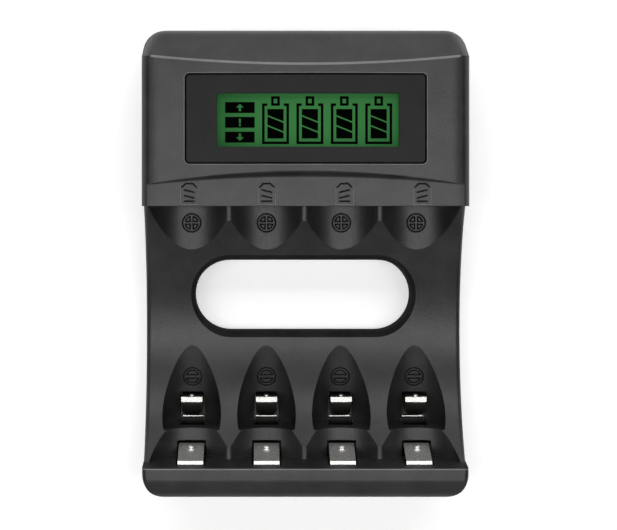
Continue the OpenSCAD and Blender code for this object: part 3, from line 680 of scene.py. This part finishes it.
shell_copy = bmesh.new()
shell_copy.from_mesh(frame["nodes"]["front_shell"].data)
shell_tree = BVHTree.FromBMesh(shell_copy)


def surface_z(x, y):
    """Height of the case under a point, seen from above."""
    hit = shell_tree.ray_cast(Vector((x, y, ABOVE_CASE)), Vector((0, 0, -1)))
    return hit[0].z


def sign_cutter(plan, x, y, depth, finish):
    """A closed cutter: a plan at a place, from above the surface down to a depth below it."""
    bm = bmesh.new()
    plan(bm)
    bmesh.ops.triangulate(bm, faces=bm.faces[:])
    bmesh.ops.translate(bm, verts=bm.verts, vec=(x, y, 0))
    bm.normal_update()
    for face in bm.faces:
        if face.normal.z < 0:
            face.normal_flip()
    bmesh.ops.solidify(bm, geom=bm.faces[:], thickness=SIGN_LIFT)
    middle = sum(vert.co.z for vert in bm.verts) / len(bm.verts)
    for vert in bm.verts:
        rise = SIGN_LIFT if vert.co.z > middle else -depth
        vert.co.z = surface_z(vert.co.x, vert.co.y) + rise
    bmesh.ops.recalc_face_normals(bm, faces=bm.faces[:])
    for face in bm.faces:
        face.material_index = finish
    mesh = bpy.data.meshes.new("sign_cutter")
    bm.to_mesh(mesh)
    bm.free()
    return mesh


cutters = []
for x in CELL_X:
    cutters.append(sign_cutter(plus_sign, x, PLUS_Y, SIGN_DEPTH, SUNK_DARKENED))
    cutters.append(sign_cutter(minus_sign, x, MINUS_Y, SIGN_DEPTH, SUNK_DARKENED))
    cutters.append(sign_cutter(cell_mark(math.copysign(1, x)), x, CELL_SIGN_Y, SIGN_DEPTH, SUNK_DARKENED))
    cutters.append(sign_cutter(cell_body, x, CELL_SIGN_Y, LINE_DEPTH, EDGE_HIGHLIGHT))
shell_copy.free()
print("cutters:", len(cutters))

# %% [markdown]
# The case and the contacts
#
# The sweep of the bay, the cradles, the ridges between them, the grooves, the rolled foot and the
# crowned head are all parts of cylinders. They are listed here with their axes, so the copies of the
# case halves can be shaded as truly round faces.

# %% Round faces of the case
SIDE = {"hollow": -1, "solid": 1}
ALONG_X = Vector((1, 0, 0))
ALONG_Y = Vector((0, 1, 0))
ALONG_Z = Vector((0, 0, 1))
GROOVE_TILT = math.radians(9)
ALONG_GROOVE = Vector((0, math.cos(GROOVE_TILT), math.sin(GROOVE_TILT)))
GROOVE_R = 5.9 * MM
GROOVE_END = Vector((0, -32.377, 5.4)) * MM
GROOVE_AXIS = GROOVE_END + Vector((0, -math.sin(GROOVE_TILT), math.cos(GROOVE_TILT))) * GROOVE_R
SWEEP_AXIS = Vector((0, -14.075, 45.2)) * MM
SWEEP_R = 37.5 * MM
FOOT_ROLL_AXIS = Vector((0, -42.075, 18.4)) * MM
FOOT_ROLL_R = 4 * MM
END_ROLL_AXIS = Vector((0, 42.475, 18.6)) * MM
END_ROLL_R = 3.6 * MM
CROWN_AXIS = Vector((0, 0, -349.9)) * MM
CROWN_R = 375.6 * MM
CRADLE_AXIS = Vector((0, 0, 20.3)) * MM
CRADLE_R = 8.7 * MM
RIDGE_AXIS = Vector((0, 0, 14.2)) * MM
RIDGE_R = 1 * MM
SIDE_ROLL_AXIS = Vector((30, 0, 22.5)) * MM
SIDE_ROLL_R = 2 * MM
HEAD_CORNER = Vector((27.6, 41.675, 0)) * MM
HEAD_CORNER_R = 4.4 * MM
FOOT_CORNER = Vector((27.2, -41.275, 0)) * MM
FOOT_CORNER_R = 4.8 * MM


def round_face(centre, axis, radius, side):
    """A cylinder that part of the case lies on."""
    return {"centre": centre, "axis": axis, "radius": radius, "side": SIDE[side]}


def on_hand(point, hand):
    """A point on the left or the right side."""
    return Vector((hand * point.x, point.y, point.z))


crown = round_face(CROWN_AXIS, ALONG_Y, CROWN_R, "solid")
case_rounds = [
    round_face(SWEEP_AXIS, ALONG_X, SWEEP_R, "hollow"),
    round_face(FOOT_ROLL_AXIS, ALONG_X, FOOT_ROLL_R, "solid"),
    crown,
]
for x in CELL_X:
    across_x = Vector((x, 0, 0))
    case_rounds.append(round_face(across_x + CRADLE_AXIS, ALONG_Y, CRADLE_R, "hollow"))
    case_rounds.append(round_face(across_x + GROOVE_AXIS, ALONG_GROOVE, GROOVE_R, "hollow"))
for x in (-PITCH, 0.0, PITCH):
    case_rounds.append(round_face(Vector((x, 0, 0)) + RIDGE_AXIS, ALONG_Y, RIDGE_R, "solid"))
case_rounds.append(round_face(END_ROLL_AXIS, ALONG_X, END_ROLL_R, "solid"))
corner_rounds = []
for hand in (-1, 1):
    case_rounds.append(round_face(on_hand(SIDE_ROLL_AXIS, hand), ALONG_Y, SIDE_ROLL_R, "solid"))
    corner_rounds.append(round_face(on_hand(HEAD_CORNER, hand), ALONG_Z, HEAD_CORNER_R, "solid"))
    corner_rounds.append(round_face(on_hand(FOOT_CORNER, hand), ALONG_Z, FOOT_CORNER_R, "solid"))
print("round faces:", len(case_rounds))

# %% [markdown]
# Softened edges
#
# The crease of the head, the rim of the bezel's recess and the inner edge of the foot get a narrow bevel
# in a lighter plastic that paints a highlight. The crown is shaded as if it eased into its sides, and the
# curved step in front of the bezel as if it were rounded. The bezel's seat is painted near black, as
# painted shade in the gap round the bezel.

# %% Softened edges of the head and the foot
SEAT_Z = 24.0 * MM
SEAT_UP = 0.99
RECESS_HALF = Vector((23.6, 8.9)) * MM
RECESS_Y = LIP_Y + 17.0 * MM
CREASE = Vector((0, 40.627, 24.5)) * MM
CREASE_FALL = math.tan(math.radians(37))
FOOT_EDGE_Y = -39.975 * MM
FOOT_EDGE_LOW = 22.0 * MM
HEAD_LOW = 19.7 * MM
HEAD_UP = 0.3
STEP_Y = (LIP_Y + 3.5 * MM, LIP_Y + 7.5 * MM)
STEP_Z = 24.25 * MM
STEP_CUTS = (24.7 * MM, 25.2 * MM)
STEP_LEAN = 0.5
STEP_FOOT_SHARE = 0.3
STEP_TOP_SHARE = 0.5
EASE_X = 28.3 * MM
EASE_END_X = 30.0 * MM
EASE = 0.26
SOFT_ANGLE = math.radians(12)
NEAR = 0.03 * MM


def on_crown(point):
    """Whether a point lies on the crowned head."""
    return abs(radial(crown, point).length - crown["radius"]) < NEAR


def on_crease(point):
    """Where the end slope meets the crown."""
    fall = (point.z - CREASE.z) + (point.y - CREASE.y) * CREASE_FALL
    return abs(fall) < NEAR and on_crown(point)


def on_recess(point):
    """The rim of the bezel's recess."""
    return abs(point.x) < RECESS_HALF.x and abs(point.y - RECESS_Y) < RECESS_HALF.y and on_crown(point)


def on_foot_edge(point):
    """The inner edge of the foot's top."""
    return abs(point.y - FOOT_EDGE_Y) < NEAR and point.z > FOOT_EDGE_LOW


# Width and steps of each rounded edge
SOFT_EDGES = {on_crease: (0.26 * MM, 4), on_recess: (0.16 * MM, 2), on_foot_edge: (0.2 * MM, 3)}


def cut_faces(bm, faces, place, normal):
    """Splits some faces by a plane."""
    edges = {e for f in faces for e in f.edges}
    points = {v for f in faces for v in f.verts}
    bmesh.ops.bisect_plane(bm, geom=faces + list(edges) + list(points), plane_co=place, plane_no=normal)


def on_head(centre, normal):
    """Whether a face belongs to the top of the head or its end slope."""
    return centre.y > LIP_Y and centre.z > HEAD_LOW and normal.z > HEAD_UP


def on_step(centre, normal):
    """Whether a face belongs to the curved step in front of the bezel."""
    return normal.y < -STEP_LEAN and STEP_Y[0] < centre.y < STEP_Y[1] and centre.z > STEP_Z


def soft_shell(bm):
    """Rounds the crease, the recess and the foot's edge with a painted highlight, cuts the step, and
    paints shade on the bezel's seat.
    """
    for test, (width, steps) in SOFT_EDGES.items():
        edges = [e for e in bm.edges if e.is_manifold and e.calc_face_angle() > SOFT_ANGLE
                 and all(test(v.co) for v in e.verts)]
        made = bmesh.ops.bevel(bm, geom=edges, offset=width, offset_type="OFFSET", segments=steps,
                               profile=0.5, affect="EDGES", clamp_overlap=False, material=-1)
        # The bevels take the lighter plastic as a painted highlight.
        for face in made["faces"]:
            face.material_index = EDGE_HIGHLIGHT
        print(test.__name__, len(edges), len(made["faces"]))
    for x in (-EASE_X, EASE_X):
        faces = [f for f in bm.faces if on_head(f.calc_center_median(), f.normal)]
        cut_faces(bm, faces, (x, 0, 0), (1, 0, 0))
    for height in STEP_CUTS:
        faces = [f for f in bm.faces if on_step(f.calc_center_median(), f.normal)]
        cut_faces(bm, faces, (0, 0, height), (0, 0, 1))
    # The bezel's seat is painted near black: painted shade in the gap round the bezel.
    for face in bm.faces:
        if abs(face.calc_center_median().z - SEAT_Z) < ON_ROUND and face.normal.z > SEAT_UP:
            face.material_index = SEAT_DARKENED


def head_touch(face, point, normal):
    """Eases the crown into its sides, and rounds the step at its top and foot."""
    past = min((abs(point.x) - EASE_X) / (EASE_END_X - EASE_X), 1.0)
    if past > 0 and on_head(face.center, face.normal):
        normal = normal + Vector((math.copysign(EASE * past, point.x) * normal.z, 0, 0))
    if on_step(face.center, face.normal):
        share = 1.0
        if point.z < STEP_Z + NEAR:
            share = STEP_FOOT_SHARE
        elif on_crown(point):
            share = STEP_TOP_SHARE
        normal = face.normal * share + ALONG_Z * (1 - share)
    return normal.normalized()


# %% Faces of the contacts that get painted shade or a painted highlight
# Finish slots: bright plate, painted shade, a painted highlight on the tongue's rim, and painted shade on
# the tongue.
BRIGHT, PAINTED_SHADE, RIM, TONGUE = range(4)
AA_BEND_Z = 11.66 * MM
AAA_FRONT_Y = -27.12 * MM
AAA_RIM = 0.1 * MM
RIM_ANGLE = math.radians(60)
TONGUE_LEAN = 0.4
FOLD_UP = 0.8
BEAD_Z = 3.45 * MM


def sort_aa(bm):
    """The plate's lower part gets painted shade, for the shade of its window."""
    for face in bm.faces:
        face.material_index = PAINTED_SHADE if face.calc_center_median().z < AA_BEND_Z else BRIGHT


def sort_aaa(bm):
    """The fold and the bump are bright; the tongue gets painted shade, its rim a painted highlight, and
    the rest painted shade.
    """
    bmesh.ops.dissolve_limit(bm, angle_limit=FLAT_ANGLE, verts=bm.verts[:], edges=bm.edges[:])
    tongue = [f for f in bm.faces if f.normal.y < -TONGUE_LEAN and f.normal.z > TONGUE_LEAN]
    rim = {e for f in tongue for e in f.edges if e.calc_face_angle(0) > RIM_ANGLE}
    for face in bm.faces:
        bright = face.normal.z > FOLD_UP or face.calc_center_median().y > AAA_FRONT_Y
        face.material_index = BRIGHT if bright else PAINTED_SHADE
    for face in tongue:
        face.material_index = TONGUE
    made = bmesh.ops.bevel(bm, geom=list(rim), offset=AAA_RIM, offset_type="OFFSET", segments=1,
                           profile=0.5, affect="EDGES", clamp_overlap=True, material=-1)
    for face in made["faces"]:
        face.material_index = RIM
    weld(bm)


def sort_strip(bm):
    """Only the bead of a strip keeps the bright plate, and the rest of the strip gets painted shade."""
    for face in bm.faces:
        face.material_index = BRIGHT if face.calc_center_median().z > BEAD_Z else PAINTED_SHADE


# %% Dressed copies
shell_finish = (case_abs, sign_painted_shade, edge_highlight_abs, seat_painted_shade)
shell = dress("front_shell", shell_finish, soft_shell, joined(cutters),
              case_rounds + corner_rounds, head_touch)
dress("rear_cover", (case_abs,), rounds=corner_rounds)
dress("display_bezel", (bezel_abs,))
aaa_finish = (leaf_nickel, nickel_in_painted_shade, rim_painted_highlight, tongue_painted_shade)
for number in range(1, CELLS + 1):
    dress(f"aa_contact_{number}", (plate_nickel, nickel_in_painted_shade), sort_aa)
    dress(f"aaa_contact_{number}", aaa_finish, sort_aaa)
    dress(f"negative_strip_{number}", (leaf_nickel, strip_painted_deep_shade), sort_strip)
print("shell faces:", len(shell.data.polygons))

# %% [markdown]
# The display's picture
#
# The panel shows three dark bars with a small mark in each, and four cells with a cap and a fill
# that two slanting lines divide. Switched-on segments are films a few hundredths of a millimetre
# thick, so the flat plans only get a little thickness. The marks are plain: an arrow up for
# charging, a stroke over a dot for a fault, and an arrow down for discharging.

# %% Display picture
FILM = 0.03 * MM
panel_low, panel_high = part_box("lcd_panel")
PANEL = Vector(((panel_low[0] + panel_high[0]) / 2, (panel_low[1] + panel_high[1]) / 2, panel_high[2]))
BAR = Vector((5.75, 2.12)) * MM
BAR_PLACE = Vector((-13.2, -0.41)) * MM
BAR_PITCH = 2.88 * MM
ICON_X = -6.27 * MM
ICON_PITCH = 6.69 * MM
ICON_LOW = -4.64 * MM
ICON_HIGH = 3.28 * MM
ICON_HALF = 2.62 * MM
ICON_LINE = 0.5 * MM
STUB = 1.02 * MM
NUB = Vector((1.68, 1.84)) * MM
NUB_LINE = 0.48 * MM
NUB_Y = 3.74 * MM
FILL_HALF = 1.57 * MM
FILL_LOW = -3.55 * MM
FILL_HIGH = 2.18 * MM
FILL_SLOPE = -0.4
FILL_GAP = 0.3 * MM
FILL_CUTS = [0.25 * MM, -1.68 * MM]
ARROW_HEAD = 0.75 * MM
ARROW_STEM = 0.22 * MM
ARROW_TIP = 0.72 * MM
FAULT_STROKE = Vector((0.36, 0.9)) * MM
FAULT_STROKE_Y = 0.25 * MM
FAULT_DOT_Y = -0.55 * MM


def fill_corners(x, top, bottom):
    """A band of a cell's fill, whose top and bottom have a height at the left and one at the right."""
    left = x - FILL_HALF
    right = x + FILL_HALF
    return [(left, bottom[0]), (right, bottom[1]), (right, top[1]), (left, top[0])]


def slanted(height):
    """Heights of a slanting line at the left and right of a fill."""
    return (height - FILL_SLOPE * FILL_HALF, height + FILL_SLOPE * FILL_HALF)


def cell_icon(bm, x):
    """One cell of the picture: outline with stubs at its top, a nub and the divided fill."""
    left = x - ICON_HALF
    right = x + ICON_HALF
    inner_low = ICON_LOW + ICON_LINE
    face_plan(bm, rectangle((left, ICON_LOW), (right, inner_low)))
    face_plan(bm, rectangle((left, inner_low), (left + ICON_LINE, ICON_HIGH)))
    face_plan(bm, rectangle((right - ICON_LINE, inner_low), (right, ICON_HIGH)))
    face_plan(bm, rectangle((left + ICON_LINE, ICON_HIGH - ICON_LINE), (left + STUB, ICON_HIGH)))
    face_plan(bm, rectangle((right - STUB, ICON_HIGH - ICON_LINE), (right - ICON_LINE, ICON_HIGH)))
    nub = rectangle((x - NUB.x / 2, NUB_Y - NUB.y / 2), (x + NUB.x / 2, NUB_Y + NUB.y / 2))
    outline_plan(bm, nub, NUB_LINE)
    upper, lower = FILL_CUTS
    half_gap = FILL_GAP / 2
    face_plan(bm, fill_corners(x, (FILL_HIGH, FILL_HIGH), slanted(upper + half_gap)))
    face_plan(bm, fill_corners(x, slanted(upper - half_gap), slanted(lower + half_gap)))
    face_plan(bm, fill_corners(x, slanted(lower - half_gap), (FILL_LOW, FILL_LOW)))


def arrow(bm, centre, way):
    """An arrow that points up or down: a head and a stem."""
    x, y = centre
    foot = y - way * ARROW_TIP
    head = [(x - ARROW_HEAD, y), (x + ARROW_HEAD, y), (x, y + way * ARROW_TIP)]
    stem = [(x - ARROW_STEM, foot), (x + ARROW_STEM, foot), (x + ARROW_STEM, y), (x - ARROW_STEM, y)]
    face_plan(bm, head[::way])
    face_plan(bm, stem[::way])


def fault_mark(bm, centre):
    """A stroke over a dot."""
    x, y = centre
    bar_plan(bm, (x, y + FAULT_STROKE_Y), FAULT_STROKE.x, FAULT_STROKE.y)
    bar_plan(bm, (x, y + FAULT_DOT_Y), FAULT_STROKE.x, FAULT_STROKE.x)


def film(name, bm, height, material):
    """A thin film on the panel from flat plans about the panel's middle."""
    bm.normal_update()
    for face in bm.faces:
        if face.normal.z < 0:
            face.normal_flip()
    bmesh.ops.solidify(bm, geom=bm.faces[:], thickness=FILM)
    lowest = min(vert.co.z for vert in bm.verts)
    bmesh.ops.translate(bm, verts=bm.verts, vec=PANEL + Vector((0, 0, height - lowest)))
    bmesh.ops.recalc_face_normals(bm, faces=bm.faces[:])
    mesh = bpy.data.meshes.new(name)
    bm.to_mesh(mesh)
    bm.free()
    mesh.materials.append(material)
    piece = bpy.data.objects.new(name, mesh)
    bpy.context.scene.collection.objects.link(piece)
    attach(piece, "case")


bar_places = [(BAR_PLACE.x, BAR_PLACE.y + row * BAR_PITCH) for row in (1, 0, -1)]
segments = bmesh.new()
for place in bar_places:
    bar_plan(segments, place, BAR.x, BAR.y)
for column in range(CELLS):
    cell_icon(segments, ICON_X + column * ICON_PITCH)
film("display_segments", segments, 0.0, segment_black)
marks = bmesh.new()
arrow(marks, bar_places[0], 1)
fault_mark(marks, bar_places[1])
arrow(marks, bar_places[2], -1)
film("display_marks", marks, FILM, panel_green)
print("display bars:", len(bar_places), "cells:", CELLS)

# %% Finishes of the remaining solids
FINISH = {
    "lcd_panel": panel_green,
    "lcd_backlight": frame_abs,
    "lcd_frame": frame_abs,
    "circuit_board": board_mask,
    "contact_board": contact_mask,
    "inlet_socket": strip_nickel,
    "controller_chip": part_epoxy,
    "power_inductor": part_epoxy,
    "charge_transistors": part_epoxy,
    "discharge_resistors": part_epoxy,
    "filter_capacitors": can_sleeve,
    "ribbon_cable": cable_grey,
    "case_screws": screw_zinc,
    "board_screws": screw_zinc,
}
for number in range(1, CELLS + 1):
    FINISH[f"positive_contact_{number}"] = strip_nickel
for node, material in FINISH.items():
    mesh = frame["nodes"][node].data
    mesh.materials.clear()
    mesh.materials.append(material)
print("plain solids dressed:", len(FINISH))

# %% [markdown]
# Floor and light
#
# A pale floor, two soft boxes overhead, and strips and panels beyond both ends, stronger at the display
# end. Satin plastic shows what it reflects: faces that look up or towards the display end catch the
# light, and faces that lean to the foot stay darker. The floor glows slightly, as a lit table does. It
# is kept out of reflections: four panels just above it stand for the table's light instead, so that
# their strength can differ from side to side.

# %% Studio
FLOOR_SIZE = 6.0
FLOOR_DROP = 0.05 * MM
FLOOR_GLOW = 0.4
SPECK = 2.5 * MM
WORLD_STRENGTH = 0.05
LIGHTS = {
    "softbox": {"size": (1.2, 0.2), "centre": (-0.05, -0.04, 0.85), "tilt": 0.0, "watts": 3.1},
    "wide_box": {"size": (2.6, 0.24), "centre": (0.0, -0.04, 0.87), "tilt": 0.0, "watts": 1.5},
    "strip": {"size": (1.6, 0.2), "centre": (0.0, 0.66, 0.86), "tilt": -37.5, "watts": 4.2},
    "front_strip": {"size": (1.6, 0.5), "centre": (0.0, -0.66, 0.8), "tilt": 39.5, "watts": 1.05},
    "back_panel": {"size": (2.4, 0.8), "centre": (0.0, 1.2, 0.42), "tilt": -70.0, "watts": 6.9},
    "front_panel": {"size": (2.4, 0.8), "centre": (0.0, -1.2, 0.5), "tilt": 67.0, "watts": 2.5},
    "table_back": {"size": (2.4, 0.8), "centre": (0.0, 0.455, 0.0004), "tilt": 180.0, "watts": 6.0},
    "table_left": {"size": (0.8, 0.11), "centre": (-0.44, 0.0, 0.0004), "tilt": 180.0, "watts": 0.19},
    "table_right": {"size": (0.8, 0.11), "centre": (0.44, 0.0, 0.0004), "tilt": 180.0, "watts": 0.19},
    "table_front": {"size": (2.4, 0.8), "centre": (0.0, -0.455, 0.0004), "tilt": 180.0, "watts": 2.2},
}


def pale_floor():
    """A matt white table top that glows a little."""
    material, tree, output, place = start_material("table_white_matt")
    speck = add(tree, "ShaderNodeTexNoise", Vector=place, Scale=1 / SPECK, Detail=1.0)
    tone = two_tones(tree, speck.outputs["Fac"], *NOISE_RANGE, "#f3f3f2", "#f7f7f6")
    shader = add(tree, "ShaderNodeBsdfPrincipled", Base_Color=tone, Roughness=0.9,
                 Emission_Color=(1.0, 1.0, 1.0, 1.0), Emission_Strength=FLOOR_GLOW)
    tree.links.new(shader.outputs["BSDF"], output.inputs["Surface"])
    return material


bm = bmesh.new()
bmesh.ops.create_grid(bm, x_segments=1, y_segments=1, size=FLOOR_SIZE / 2,
                      matrix=Matrix.Translation((0, 0, -FLOOR_DROP)))
floor_mesh = bpy.data.meshes.new("table_top")
bm.to_mesh(floor_mesh)
bm.free()
floor_mesh.materials.append(pale_floor())
floor = bpy.data.objects.new("table_top", floor_mesh)
floor.visible_glossy = False
bpy.context.scene.collection.objects.link(floor)

for name, kind in LIGHTS.items():
    light_data = bpy.data.lights.new(name, "AREA")
    light_data.shape = "RECTANGLE"
    light_data.size, light_data.size_y = kind["size"]
    light_data.energy = kind["watts"]
    light = bpy.data.objects.new(name, light_data)
    light.location = kind["centre"]
    light.rotation_euler = (math.radians(kind["tilt"]), 0, 0)
    light.visible_camera = False
    bpy.context.scene.collection.objects.link(light)

world = bpy.data.worlds.new("studio")
world.use_nodes = True
background = world.node_tree.nodes["Background"]
background.inputs["Color"].default_value = linear("#f4f4f4")
background.inputs["Strength"].default_value = WORLD_STRENGTH
bpy.context.scene.world = world
bpy.context.scene.view_settings.view_transform = "Standard"
print("lights:", len(LIGHTS))
